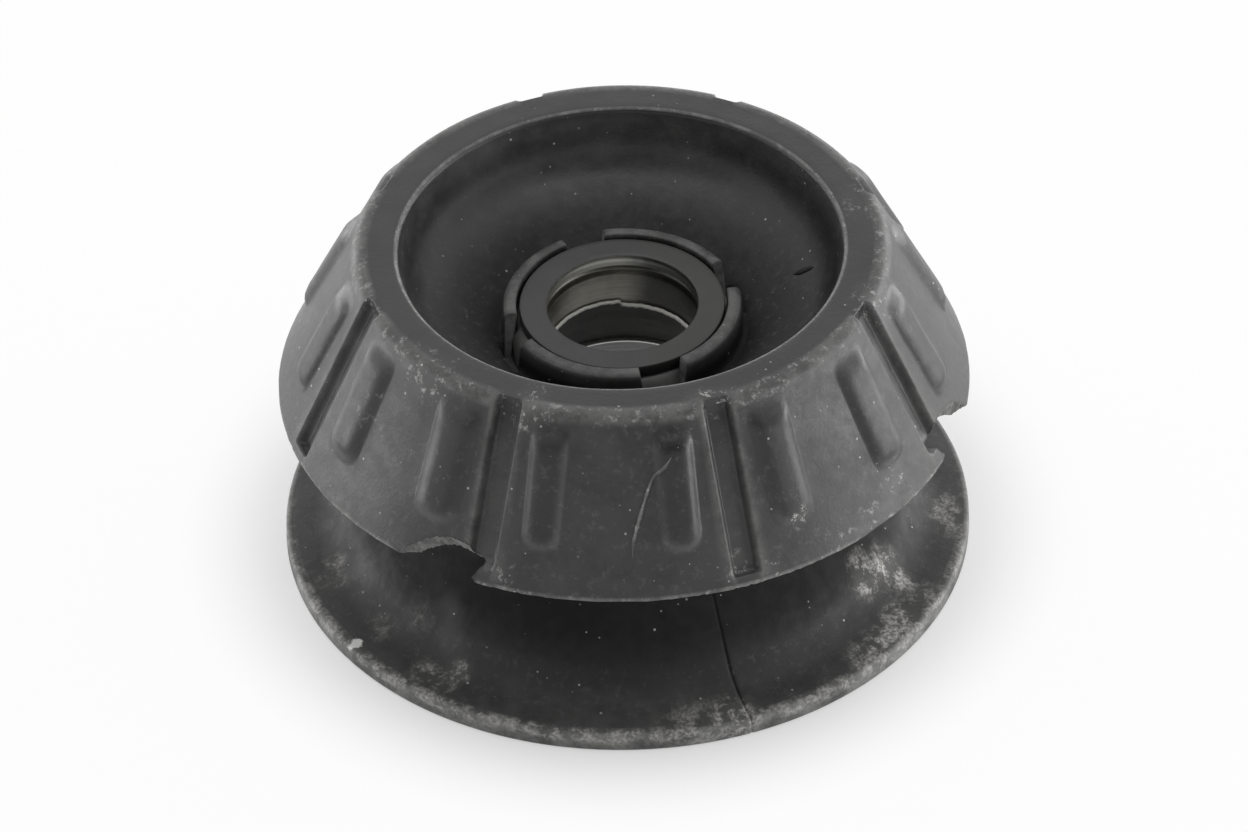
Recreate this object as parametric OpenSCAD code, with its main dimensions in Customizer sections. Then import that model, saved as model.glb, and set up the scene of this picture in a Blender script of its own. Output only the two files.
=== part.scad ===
// Strut mount: a moulded rubber cushion bonded to a pressed steel core, with a short
// steel sleeve in the bore and a flat seat washer held inside four rubber lips.
// Millimetres. The base lies on Z = 0, +Z runs up the bore, and the mould's parting
// plane is X = 0. Azimuth 0 faces -Y and grows towards +X.

/* [Dome] */
// Height of the flat rim above the base
rim_h = 65; // [60:0.5:72]
// Inside diameter of the rim, at the mouth of the bowl
rim_inner_d = 79.4; // [74:0.2:84]
// Outside diameter of the rim, where the panels begin
rim_outer_d = 94.6; // [91:0.2:98]
// Outside diameter of the skirt at its lower edge
skirt_d = 125.4; // [118:0.2:132]
// Height of the skirt's lower edge above the base
skirt_edge_h = 34.6; // [31:0.2:38]
// Wall of the skirt, measured square to its face
skirt_t = 2.6; // [2:0.1:3.2]
// Height of the roof of the hollow behind the skirt
roof_h = 46.2; // [43:0.2:49]
// Outside diameter of that roof's inner corner
roof_inner_d = 82; // [78:0.5:88]
// Rounding of the rim's inner edge
rim_round = 1.4; // [0.8:0.1:2.2]
// Rounding of the shoulder between the rim and the panels
shoulder_round = 2.4; // [1.4:0.1:2.8]

/* [Bowl] */
// Depth of the steep wall under the rim
bowl_wall_h = 9.5; // [7:0.5:12]
// How far that wall closes in towards its foot
bowl_wall_in = 2.2; // [1:0.1:4]
// Height of the bowl's floor where it meets the collar
bowl_floor_h = 45.4; // [44:0.1:46.5]
// Radius where the wall turns into the floor
bowl_round = 9; // [5:0.5:11]

/* [Channels] */
// Number of channels, one between each pair of panels
channel_count = 8; // [4:4:8]
// Width of a channel
channel_w = 4.8; // [3.5:0.1:6]
// Depth of a channel below the panels
channel_depth = 2; // [1:0.1:2.2]
// Diameter of the upright wall that ends the channels at the rim
channel_end_d = 92.4; // [90:0.2:93]
// Land left below a channel, above the skirt's edge
channel_foot = 2.4; // [1.5:0.1:4]
// Land left below the two channels that open into a notch
notch_land = 4.3; // [3:0.1:5.5]

/* [Ribs] */
// Angle from a panel's middle to the middle of each of its two ribs
rib_angle = 11.75; // [11:0.25:13]
// Width of a rib where it meets the panel
rib_w = 8; // [6.5:0.1:9]
// Height of a rib's round back above the panel
rib_rise = 1.3; // [0.8:0.1:2]
// Distance up the panel from the skirt's edge to a rib's lower end
rib_foot = 8.6; // [7:0.1:12]
// Distance down the panel from the rim to a rib's upper end
rib_head = 3.2; // [2.6:0.1:8]

/* [Notches] */
// Height of the two notches in the skirt's edge
notch_h = 6.2; // [4:0.1:8]
// Azimuth at which a notch begins, at the inner side of a channel
notch_start = 44.6; // [43.6:0.2:45.6]
// Length of a notch along the skirt's edge
notch_l = 18.8; // [12:0.2:22]
// How far the skirt's edge hooks back under the tall end of a notch
notch_hook = 1.6; // [0.5:0.1:2.5]
// Rounding of the notch's tall corner
notch_round = 1.2; // [0.4:0.1:1.4]

/* [Collar] */
// Wall of the four lips that hold the seat washer
lip_t = 2.1; // [1.8:0.1:2.6]
// Height of the lips above the seat washer
lip_rise = 0.7; // [0.4:0.1:1.6]
// Running gap between the lips and the seat washer
lip_gap = 0.5; // [0.3:0.1:0.8]
// Number of gaps between the lips
lip_count = 4; // [2:1:6]
// Angle of each gap between the lips
lip_gap_angle = 20; // [12:1:30]
// Depth of the gaps below the bowl's floor
lip_gap_depth = 2.2; // [0.5:0.1:3]
// Rounding of the lips' upper edges
lip_round = 0.5; // [0.2:0.1:1]

/* [Lower flange] */
// Outside diameter of the lower flange
flange_d = 125; // [118:0.2:132]
// Thickness of the flange at its edge
flange_t = 3.5; // [3.2:0.1:4.5]
// Diameter at which the flange turns up into the waist
waist_d = 107; // [100:0.5:112]
// Height of the flange's upper face at that turn
waist_h = 4.9; // [4.4:0.1:6]
// Slope of the waist above the horizontal
waist_angle = 54.5; // [52:0.5:58]
// Radius of the turn from the flange into the waist
waist_round = 9; // [5:0.5:12]
// Radius of the groove's inner end, between the waist and the dome
groove_round = 5; // [3:0.5:6]
// Rounding of the flange's edge
edge_round = 0.7; // [0.3:0.1:1.2]

/* [Steel core] */
// Thickness of the core's sheet
sheet_t = 2.2; // [1.8:0.1:2.5]
// Rubber outside the core's cup, under the lips
collar_cover = 1; // [0.6:0.1:1.4]
// Depth of the cup from its top to the turn of the cone, inside
cup_depth = 20.8; // [18:0.2:22]
// Slope of the core's cone above the horizontal
cone_angle = 45; // [42:0.5:48]
// Rubber outside the edge of the core's flat plate
plate_cover = 2.5; // [1.8:0.1:4]
// Height of the plate's underside above the base
plate_h = 0.6; // [0.4:0.1:0.8]
// Inner radius of the sheet's bends
bend_r = 1.2; // [0.8:0.1:1.6]
// How far the rubber wraps round under the plate's edge
wrap_w = 2.4; // [1.5:0.1:4]

/* [Bore] */
// Diameter of the bore through the sleeve and the seat washer
bore_d = 27.2; // [26:0.1:28]
// Wall of the sleeve
sleeve_t = 1.8; // [1.4:0.1:2.2]
// Length of the sleeve
sleeve_l = 9.6; // [6:0.1:11]
// Chamfer inside the sleeve's upper end
sleeve_chamfer = 1; // [0.5:0.1:1.4]
// Height of the seat washer's upper face above the base
seat_h = 51.6; // [50.6:0.1:52.6]
// Outside diameter of the seat washer
washer_d = 36.8; // [36:0.1:38]
// Thickness of the seat washer
washer_t = 2.3; // [2:0.1:2.8]

/* [Hidden] */
$fn = 96;
// Straight pieces in each rounded corner of an outline
arc_steps = 6;
// Straight pieces along a notch's curved top
notch_steps = 8;
// How fast a notch's top falls away along its length
notch_power = 1.6;
// Reach of a cutter past the face that it opens
past = 5;

rim_inner_r = rim_inner_d / 2;
rim_outer_r = rim_outer_d / 2;
skirt_r = skirt_d / 2;
bore_r = bore_d / 2;
sleeve_r = bore_r + sleeve_t;
washer_r = washer_d / 2;
lip_inner_r = washer_r + lip_gap;
lip_outer_r = lip_inner_r + lip_t;
lip_top_h = seat_h + lip_rise;
flange_r = flange_d / 2;
waist_r = waist_d / 2;
cup_r = lip_outer_r - collar_cover;
core_top_h = seat_h - washer_t;

// The panels' face: its lean from the vertical and its length up the slope
panel_drop = rim_h - skirt_edge_h;
lean = atan((skirt_r - rim_outer_r) / panel_drop);
slope_l = panel_drop / cos(lean);
panel_angle = 360 / channel_count;

// Radius of a rib's round back, from its width and height
rib_r = (rib_w * rib_w / 4 + rib_rise * rib_rise) / (2 * rib_rise);

// The waist's line runs up from its turn at the flange
function waist_r_at(z) = waist_r - (z - waist_h) / tan(waist_angle);

// The skirt's inner face is the panels' face moved in by the wall
function skirt_inner_r_at(z) = skirt_r - skirt_t / cos(lean) - (z - skirt_edge_h) * tan(lean);

// The groove's inner end: where the waist meets a line of the same slope down from the roof
groove_h = (roof_h + waist_h + (waist_r - roof_inner_d / 2) * tan(waist_angle)) / 2;
groove_r = waist_r_at(groove_h);

// The core's cone: under face through the cup's inner corner, upper face one sheet away
cup_inner_r = cup_r - sheet_t;
cone_corner_h = core_top_h - cup_depth;
cone_rise = sheet_t / cos(cone_angle);
plate_top_h = plate_h + sheet_t;
function cone_under_h(r) = cone_corner_h - (r - cup_inner_r) * tan(cone_angle);
function cone_under_r(z) = cup_inner_r + (cone_corner_h - z) / tan(cone_angle);
function cone_upper_h(r) = cone_under_h(r) + cone_rise;
function cone_upper_r(z) = cone_under_r(z - cone_rise);
plate_r = flange_r - plate_cover;

// Unit vector of v
function unit(v) = v / norm(v);

// Points of the arc that rounds the corner b between a and c; a radius of 0 keeps the corner
function corner(a, b, c, radius) =
    radius == 0 ? [b] :
    let (
        u = unit(a - b),
        v = unit(c - b),
        half = acos(u * v) / 2,
        centre = b + unit(u + v) * radius / sin(half),
        from = b + u * radius / tan(half) - centre,
        to = b + v * radius / tan(half) - centre,
        start = atan2(from[1], from[0]),
        turn = atan2(from[0] * to[1] - from[1] * to[0], from * to)
    )
    [for (i = [0:arc_steps])
        centre + radius * [cos(start + turn * i / arc_steps), sin(start + turn * i / arc_steps)]];

// An outline from corners [r, z, radius], each rounded by its own radius
function rounded(corners) =
    let (n = len(corners), at = [for (c = corners) [c[0], c[1]]])
    [for (i = [0:n - 1]) each corner(at[(i + n - 1) % n], at[i], at[(i + 1) % n], corners[i][2])];

// Places children on the panels' face: x along the rim, -y out of the face, z up the slope
module on_panel(azimuth) {
    rotate(azimuth)
        translate([0, -skirt_r, skirt_edge_h])
            rotate([-lean, 0, 0])
                children();
}

// Section of the pressed core: top flange, cup, cone and plate, one sheet thick all along
module core_section() {
    polygon(rounded([
        [sleeve_r, core_top_h, 0],
        [cup_r, core_top_h, bend_r + sheet_t],
        [cup_r, cone_upper_h(cup_r), bend_r],
        [cone_upper_r(plate_top_h), plate_top_h, bend_r],
        [plate_r, plate_top_h, 0],
        [plate_r, plate_h, 0],
        [cone_under_r(plate_h), plate_h, bend_r + sheet_t],
        [cup_inner_r, cone_corner_h, bend_r + sheet_t],
        [cup_inner_r, core_top_h - sheet_t, bend_r],
        [sleeve_r, core_top_h - sheet_t, 0]
    ]));
}

// Outline of the whole moulding, running through the middle of the core's sheet, which is
// then taken out of it
module moulding_section() {
    mid = sheet_t / 2;
    mid_cup_r = cup_r - mid;
    mid_h = plate_h + mid;
    difference() {
        polygon(rounded([
            [flange_r, 0, edge_round],
            [flange_r, flange_t, edge_round],
            [waist_r, waist_h, waist_round],
            [groove_r, groove_h, groove_round],
            [roof_inner_d / 2, roof_h, groove_round],
            [skirt_inner_r_at(roof_h), roof_h, groove_round],
            [skirt_inner_r_at(skirt_edge_h), skirt_edge_h, 0],
            [skirt_r, skirt_edge_h, 0],
            [rim_outer_r, rim_h, shoulder_round],
            [rim_inner_r, rim_h, rim_round],
            [rim_inner_r - bowl_wall_in, rim_h - bowl_wall_h, bowl_round],
            [lip_outer_r, bowl_floor_h, lip_round],
            [lip_outer_r, lip_top_h, lip_round],
            [lip_inner_r, lip_top_h, lip_round],
            [lip_inner_r, core_top_h - mid, 0],
            [mid_cup_r, core_top_h - mid, 0],
            [mid_cup_r, cone_upper_h(mid_cup_r) - cone_rise / 2, 0],
            [cone_upper_r(mid_h + cone_rise / 2), mid_h, 0],
            [plate_r - wrap_w, mid_h, 0],
            [plate_r - wrap_w, 0, 0]
        ]));
        core_section();
    }
}

// One channel down the panels' face, from the land below it and out over the rim
module channel(land) {
    translate([-channel_w / 2, -past, land])
        cube([channel_w, past + channel_depth, slope_l + past - land]);
}

// Land below the channel at an azimuth: higher where the channel opens into a notch
function land_at(azimuth) =
    abs(min(azimuth, 360 - azimuth) - notch_start) < panel_angle / 4 ? notch_land : channel_foot;

// All the channels, which stop at an upright wall just inside the rim's shoulder
module channels() {
    difference() {
        for (i = [0:channel_count - 1])
            on_panel(i * panel_angle) channel(land_at(i * panel_angle));
        cylinder(d = channel_end_d, h = rim_h + 2 * past);
    }
}

// One rib on a panel: a round back with round ends, its axis sunk below the panel's face
module rib() {
    low = rib_foot + rib_w / 2;
    high = slope_l - rib_head - rib_w / 2;
    translate([0, rib_r - rib_rise, low]) {
        cylinder(r = rib_r, h = high - low);
        sphere(r = rib_r);
        translate([0, 0, high - low]) sphere(r = rib_r);
    }
}

// All the ribs, cut off inside the skirt's wall so that none reaches the hollow behind it
module ribs() {
    sunk = skirt_t / 2 / cos(lean);
    difference() {
        for (i = [0:channel_count - 1], side = [-1, 1])
            on_panel((i + 0.5) * panel_angle + side * rib_angle) rib();
        translate([0, 0, skirt_edge_h])
            cylinder(r1 = skirt_r - sunk, r2 = rim_outer_r - sunk, h = panel_drop);
    }
}

// One notch in the skirt's edge: tall beside a channel, falling away along the edge
module notch() {
    top = [for (i = [0:notch_steps])
        let (s = i / notch_steps)
        [notch_l * s, notch_h * cos(90 * pow(s, notch_power)), i == 0 ? notch_round : 0]];
    foot = [[notch_l, -past, 0], [notch_hook, -past, 0], [notch_hook, 0, 0]];
    rotate(notch_start)
        translate([0, -skirt_r + past * 3, skirt_edge_h])
            rotate([90, 0, 0])
                linear_extrude(past * 4)
                    polygon(rounded(concat(top, foot)));
}

// One gap between two lips of the collar
module lip_opening() {
    floor_h = bowl_floor_h - lip_gap_depth;
    translate([0, 0, floor_h])
        rotate(-90 - lip_gap_angle / 2)
            rotate_extrude(angle = lip_gap_angle)
                translate([washer_r, 0])
                    square([lip_outer_r + lip_round - washer_r, lip_top_h + past - floor_h]);
}

// The rubber cushion: dome, skirt, bowl, collar, waist and lower flange in one moulding
module rubber_body() {
    color("#2b2b2c") difference() {
        union() {
            rotate_extrude() moulding_section();
            ribs();
        }
        channels();
        notch();
        mirror([1, 0, 0]) notch();
        for (i = [0:lip_count - 1])
            rotate(i * 360 / lip_count) lip_opening();
    }
}

// The pressed steel core inside the moulding, bare on its underside
module core_shell() {
    color("#3a3a3a") rotate_extrude() core_section();
}

// The turned steel sleeve pressed into the core's top, chamfered at its upper end
module bore_sleeve() {
    bottom = core_top_h - sleeve_l;
    color("#8d8c80") difference() {
        translate([0, 0, bottom]) cylinder(r = sleeve_r, h = sleeve_l);
        translate([0, 0, bottom - past]) cylinder(r = bore_r, h = sleeve_l + 2 * past);
        translate([0, 0, core_top_h - sleeve_chamfer])
            cylinder(r1 = bore_r, r2 = bore_r + sleeve_chamfer, h = sleeve_chamfer);
    }
}

// The flat seat washer on top of the core, inside the lips
module seat_washer() {
    color("#4a4a4b") difference() {
        translate([0, 0, core_top_h]) cylinder(r = washer_r, h = washer_t);
        translate([0, 0, core_top_h - past]) cylinder(r = bore_r, h = washer_t + 2 * past);
    }
}

rubber_body();
core_shell();
bore_sleeve();
seat_washer();
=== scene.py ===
import math

import bmesh
import bpy
import numpy as np
from mathutils import Matrix, Vector
from mathutils.bvhtree import BVHTree


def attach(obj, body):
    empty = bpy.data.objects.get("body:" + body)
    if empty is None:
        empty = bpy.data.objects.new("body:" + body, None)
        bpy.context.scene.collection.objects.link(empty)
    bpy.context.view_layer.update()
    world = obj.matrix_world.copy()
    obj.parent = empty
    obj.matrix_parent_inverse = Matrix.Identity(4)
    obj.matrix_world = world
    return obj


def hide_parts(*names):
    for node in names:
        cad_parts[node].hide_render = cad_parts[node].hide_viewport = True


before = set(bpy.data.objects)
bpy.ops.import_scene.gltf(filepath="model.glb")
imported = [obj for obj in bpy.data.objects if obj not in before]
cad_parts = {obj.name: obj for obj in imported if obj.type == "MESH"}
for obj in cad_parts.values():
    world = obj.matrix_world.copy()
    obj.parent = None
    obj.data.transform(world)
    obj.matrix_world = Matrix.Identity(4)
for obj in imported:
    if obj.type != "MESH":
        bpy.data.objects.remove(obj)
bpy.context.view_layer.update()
scene = bpy.context.scene
mm = 0.001


# Wires and graphs: a socket that does sums, and the tree it belongs to

class Wire:
    def __init__(self, graph, socket):
        self.graph = graph
        self.socket = socket

    def maths(self, operation, *others):
        return self.graph.maths(operation, self, *others)

    def out(self, name):  # another output of the same node
        return Wire(self.graph, self.socket.node.outputs[name])

    def __add__(self, other):
        return self.maths("ADD", other)

    def __radd__(self, other):
        return self.graph.maths("ADD", other, self)

    def __sub__(self, other):
        return self.maths("SUBTRACT", other)

    def __rsub__(self, other):
        return self.graph.maths("SUBTRACT", other, self)

    def __mul__(self, other):
        return self.maths("MULTIPLY", other)

    def __rmul__(self, other):
        return self.graph.maths("MULTIPLY", other, self)

    def __truediv__(self, other):
        return self.maths("DIVIDE", other)

    def __rtruediv__(self, other):
        return self.graph.maths("DIVIDE", other, self)

    def __neg__(self):
        return self.maths("MULTIPLY", -1)

    def __abs__(self):
        return self.maths("ABSOLUTE")


class Graph:
    def __init__(self, tree):
        self.tree = tree

    def node(self, kind, settings=None, sockets=None, out=0):
        made = self.tree.nodes.new(kind)
        for name, value in (settings or {}).items():
            setattr(made, name, value)
        for name, value in (sockets or {}).items():
            if isinstance(value, Wire):
                self.tree.links.new(value.socket, made.inputs[name])
            else:
                made.inputs[name].default_value = value
        return Wire(self, made.outputs[out]) if len(made.outputs) else made

    def maths(self, operation, *values):
        return self.node("ShaderNodeMath", {"operation": operation}, dict(enumerate(values)))

    def vector(self, operation, *values, out=0):
        return self.node("ShaderNodeVectorMath", {"operation": operation}, dict(enumerate(values)), out)

    def joined(self, x, y, z):
        return self.node("ShaderNodeCombineXYZ", None, {0: x, 1: y, 2: z})

    def smooth(self, value, low, high):  # 0 at low, 1 at high, eased at both ends
        sockets = {"Value": value, "From Min": low, "From Max": high}
        return self.node("ShaderNodeMapRange", {"interpolation_type": "SMOOTHSTEP"}, sockets)

    def most(self, first, second):
        return self.maths("MAXIMUM", first, second)

    def least(self, first, second):
        return self.maths("MINIMUM", first, second)

    def mix(self, factor, first, second):
        return self.node("ShaderNodeMix", {"data_type": "RGBA"}, {0: factor, 6: first, 7: second}, 2)

    def noise(self, where, scale, detail, roughness=0.5, distortion=0):
        sockets = {"Vector": where, "Scale": scale, "Detail": detail,
                   "Roughness": roughness, "Distortion": distortion}
        return self.node("ShaderNodeTexNoise", None, sockets)


# Camera, at the photograph's angle

view = dict(azimuth=-19.7, elevation=39.82, distance=1.4, roll=1.47, focalPixels=7732,
            imageWidth=1248, sensor=36, aside=-0.00018, height=0.02521)


def makeCamera():
    azimuth, elevation, roll = (math.radians(view[k]) for k in ("azimuth", "elevation", "roll"))
    back = Vector((math.sin(azimuth) * math.cos(elevation), -math.cos(azimuth) * math.cos(elevation),
                   math.sin(elevation)))
    right = Vector((math.cos(azimuth), math.sin(azimuth), 0))
    up = back.cross(right)
    turnedRight = right * math.cos(roll) - up * math.sin(roll)
    turnedUp = right * math.sin(roll) + up * math.cos(roll)
    place = right * view["aside"] + Vector((0, 0, view["height"])) + back * view["distance"]
    data = bpy.data.cameras.new("camera")
    data.sensor_width = view["sensor"]
    data.lens = view["focalPixels"] / view["imageWidth"] * view["sensor"]
    camera = bpy.data.objects.new("camera", data)
    scene.collection.objects.link(camera)
    camera.matrix_world = Matrix((
        (turnedRight.x, turnedUp.x, back.x, place.x),
        (turnedRight.y, turnedUp.y, back.y, place.y),
        (turnedRight.z, turnedUp.z, back.z, place.z),
        (0, 0, 0, 1)))
    scene.camera = camera


makeCamera()
print("camera set")


# Outlines and revolved meshes, in millimetres until the mesh is made

def arc(before, at, after, radius, steps):  # points that round one corner of an outline
    before, at, after = (np.array(p, float) for p in (before, at, after))
    u = (before - at) / np.linalg.norm(before - at)
    v = (after - at) / np.linalg.norm(after - at)
    half = math.acos(float(np.clip(u @ v, -1, 1))) / 2
    bisector = (u + v) / np.linalg.norm(u + v)
    centre = at + bisector * radius / math.sin(half)
    first = at + u * radius / math.tan(half) - centre
    last = at + v * radius / math.tan(half) - centre
    turn = math.atan2(first[0] * last[1] - first[1] * last[0], first @ last)
    start = math.atan2(first[1], first[0])
    return [tuple(centre + radius * np.array((math.cos(start + turn * i / steps),
                                              math.sin(start + turn * i / steps))))
            for i in range(steps + 1)]


def between(first, last, count):  # points strictly between two others
    return [tuple(np.array(first) + (np.array(last) - np.array(first)) * (i + 1) / (count + 1))
            for i in range(count)]


def ease(value, low, high):  # smooth step for numbers and arrays
    t = np.clip((np.asarray(value, float) - low) / (high - low), 0, 1)
    return t * t * (3 - 2 * t)


def setAttribute(mesh, name, domain, values):
    layer = mesh.attributes.new(name, "FLOAT", domain)
    layer.data.foreach_set("value", np.asarray(values, np.float32).ravel())


def turnOutwards(mesh):  # makes the faces point outwards
    work = bmesh.new()
    work.from_mesh(mesh)
    bmesh.ops.recalc_face_normals(work, faces=work.faces)
    work.to_mesh(mesh)
    work.free()


def gridMesh(name, points, attributes=None):
    # points: rows x columns x 3, closed both ways; attributes: name to rows x columns
    rows, columns = points.shape[:2]
    index = np.arange(rows * columns).reshape(rows, columns)
    down = np.roll(index, -1, 0)
    quads = np.stack([index, np.roll(index, -1, 1), np.roll(down, -1, 1), down], -1).reshape(-1, 4)
    mesh = bpy.data.meshes.new(name)
    mesh.from_pydata((points.reshape(-1, 3) * mm).tolist(), [], quads.tolist())
    for key, values in (attributes or {}).items():
        setAttribute(mesh, key, "POINT", np.broadcast_to(values, (rows, columns)))
    mesh.update()
    turnOutwards(mesh)
    mesh.shade_smooth()
    return mesh


def evaluatedMesh(holder, name):  # a plain mesh of an object as its modifier leaves it
    graph = bpy.context.evaluated_depsgraph_get()
    made = bpy.data.meshes.new_from_object(holder.evaluated_get(graph), depsgraph=graph)
    made.name = name
    return made


def addPiece(name, mesh, material, node):
    piece = bpy.data.objects.new(name, mesh)
    scene.collection.objects.link(piece)
    if not mesh.materials:
        mesh.materials.append(material)
    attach(piece, "root")
    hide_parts(node)


# Rubber moulding

moulding = dict(
    rimHeight=65, rimInner=39.7, rimOuter=47.3, rimRound=1.4, shoulderRound=2.4,
    skirtRadius=62.7, skirtEdge=34.6, skirtWall=2.6, skirtRound=0.5,
    roofHeight=46.2, roofInner=41, grooveRound=5,
    bowlWallDepth=9.5, bowlWallIn=2.2, bowlFloor=45.4, bowlRound=9, bowlLastRow=0.985,
    flangeRadius=62.5, flangeEdge=3.5, edgeRound=0.7,
    waistRadius=53.5, waistHeight=4.9, waistAngle=54.5, waistRound=9,
    lipInner=18.9, lipOuter=21.6, lipTop=52.3, lipRound=0.5, lipCrown=1.45,
    gapCount=4, gapHalf=10, gapSide=(-0.4, 0.9), gapFloor=43.2, gapWall=22.1, gapClear=0.02,
    channelDepth=2, channelFoot=2.4, footSlope=(-0.15, 0.45), channelEnd=46.2, endRound=0.35, offSlope=-50,
    seamWidth=0.2, seamDepth=0.4, seamDown=0.8, seamUp=(0.4, 3.2), seamIn=0.5, seamOut=(61, 62.4),
    plateRadius=60, plateBottom=0.6, plateTop=2.8, wrapInner=57.6,
    cupRadius=20, cupShoulder=3.4, coreTop=49.3, coneTop=29.41, coneFoot=46.61,
    # rows of the mesh up a panel: start, end and spacing of each run, and single rows at a channel's foot
    panelRuns=((0.9, 1.9, 0.45), (4.4, 7.4, 0.8), (7.5, 11.6, 0.5), (12.2, 25.4, 1.1), (25.6, 32.3, 0.75)),
    footRows=(2.1, 2.3, 2.5, 2.75, 3.1, 3.6), rowMargins=(0.2, 0.1),
    # rows of the bonded side: below a gap's floor, a height down the cup, and steps down the cone
    bondUnderGap=0.3, bondCup=36, bondCone=(0, 10, 18), bondLoose=(0.2, 2))
skirtHeight = moulding["rimHeight"] - moulding["skirtEdge"]
lean = math.atan((moulding["skirtRadius"] - moulding["rimOuter"]) / skirtHeight)  # of the skirt
slopeLength = skirtHeight / math.cos(lean)


def panelRun(first, last):
    # rows up a panel, closer together where a channel starts and where the ribs start and end
    m = moulding
    stops = np.sort(np.concatenate([np.arange(*run) for run in m["panelRuns"]] + [m["footRows"]]))
    start, end = ((point[1] - m["skirtEdge"]) / math.cos(lean) for point in (first, last))
    after, before = m["rowMargins"]
    first, last = np.array(first), np.array(last)
    return [tuple(first + (last - first) * (stop - start) / (end - start))
            for stop in stops[(stops > start + after) & (stops < end - before)]]


def mouldingRows():
    # the section as rows of radius, height and zone, from under the plate round the outside to the core
    m = moulding

    def inner(z):  # radius of the skirt's inner face
        return m["skirtRadius"] - m["skirtWall"] / math.cos(lean) - (z - m["skirtEdge"]) * math.tan(lean)

    steep = math.tan(math.radians(m["waistAngle"]))
    grooveHeight = (m["roofHeight"] + m["waistHeight"] + (m["waistRadius"] - m["roofInner"]) * steep) / 2
    grooveRadius = m["waistRadius"] - (grooveHeight - m["waistHeight"]) / steep
    bowlRadius = m["rimInner"] - m["bowlWallIn"]
    cupCentre, cupHeight = m["cupRadius"] - m["cupShoulder"], m["coreTop"] - m["cupShoulder"]
    turn = math.acos((m["lipInner"] - cupCentre) / m["cupShoulder"])
    # corners: radius, height, rounding, its steps and zone, then the rows up to the next corner and their zone
    corners = (
        (m["wrapInner"], 0, 0, 0, "under", 2, "under"),
        (m["flangeRadius"], 0, m["edgeRound"], 4, "flangeEdge", 3, "flangeEdge"),
        (m["flangeRadius"], m["flangeEdge"], m["edgeRound"], 4, "flangeEdge", 8, "flange"),
        (m["waistRadius"], m["waistHeight"], m["waistRound"], 7, "flange", 11, "waist"),
        (grooveRadius, grooveHeight, m["grooveRound"], 7, "groove", 2, "groove"),
        (m["roofInner"], m["roofHeight"], m["grooveRound"], 4, "groove", 1, "groove"),
        (inner(m["roofHeight"]), m["roofHeight"], m["grooveRound"], 5, "groove", 9, "skirtIn"),
        (inner(m["skirtEdge"]), m["skirtEdge"], m["skirtRound"], 2, "skirtEdge", 0, "skirtEdge"),
        (m["skirtRadius"], m["skirtEdge"], m["skirtRound"], 3, "skirtEdge", 0, "panel"),
        (m["rimOuter"], m["rimHeight"], m["shoulderRound"], 9, "shoulder", 4, "rim"),
        (m["rimInner"], m["rimHeight"], m["rimRound"], 6, "rim", 3, "bowl"),
        (bowlRadius, m["rimHeight"] - m["bowlWallDepth"], m["bowlRound"], 8, "bowl", 10, "bowl"),
        (m["lipOuter"], m["bowlFloor"], m["lipRound"], 2, "lip", 3, "lip"),
        (m["lipOuter"], m["lipTop"], m["lipCrown"], 6, "lip", 1, "lip"),
        (m["lipInner"], m["lipTop"], m["lipRound"], 4, "lip", 2, "lip"),
        (m["lipInner"], cupHeight + m["cupShoulder"] * math.sin(turn), 0, 0, "lip", 0, "lip"))
    places = [corner[:2] for corner in corners]
    bends = [arc(*places[k - 1:k + 2], *corner[2:4]) if corner[2] else [places[k]]
             for k, corner in enumerate(corners)]
    rows = [(m["wrapInner"], m["plateBottom"], "under")]
    for bend, after, (bendZone, count, zone) in zip(bends, bends[1:], (corner[4:] for corner in corners)):
        first, last = bend[-1], after[0]
        run = panelRun(first, last) if zone == "panel" else between(first, last, count)
        if bendZone == "bowl":  # one more row close to the lips' foot
            share = m["bowlLastRow"]
            run.append(tuple(share * np.array(last) + (1 - share) * np.array(first)))
        rows += [(r, z, bendZone) for r, z in bend] + [(r, z, zone) for r, z in run]
    for t in (1, 0.66, 0.33, 0):  # down the round of the core's cup
        rows.append((cupCentre + m["cupShoulder"] * math.cos(turn * t),
                     cupHeight + m["cupShoulder"] * math.sin(turn * t), "lip"))
    bond = [(m["cupRadius"], m["gapFloor"] - m["bondUnderGap"]), (m["cupRadius"], m["bondCup"])]
    bond += [(m["cupRadius"] + step, m["coneTop"] - step) for step in m["bondCone"]]
    bond += [(m["coneFoot"], m["plateTop"]), (m["plateRadius"], m["plateTop"]),
             (m["plateRadius"], m["plateBottom"])]
    return rows + [(r, z, "bond") for r, z in bond]


panels = dict(
    count=8, channelWidth=4.9, channelWall=0.95, ribFoot=8.8, ribHead=2.4, ribRise=1.3, ribFlank=0.62,
    ribFade=5, ribRound=3.1, uneven=0.16, unevenSize=11, grain=0.03, grainSize=2.2, seed=7,
    seedShift=(0.013, 0.007, 0.003), wallSplit=(0.25, 0.75),
    # width of each rib and its angle from the channel: to the left and right of every channel
    ribWidths=((7.2, 8.2), (8.4, 8), (8, 8), (8, 8), (8, 8), (8, 8), (8, 9), (9.2, 7)),
    ribAngles=((10.4, 10.4), (11.6, 10.8), (10.8, 10.8), (10.8, 10.8), (10.8, 10.8), (10.8, 10.8),
               (10.8, 10.6), (10.3, 10)),
    # columns of the mesh: across a channel from its middle, more of them at the parting line, across a rib
    # in halves of its width, and between a rib and the panel's middle
    channelColumns=(0, 0.9, 1.5, 1.7, 1.9, 2.1, 2.3, 2.5, 2.7, 3.0), partingColumns=(0.1, 0.25, 0.45),
    ribColumns=(-1.06, -0.99, -0.9, -0.75, -0.55, -0.3, 0, 0.3, 0.55, 0.75, 0.9, 0.99, 1.06),
    landColumns=(0.35, 0.7), leastReach=46)


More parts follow.
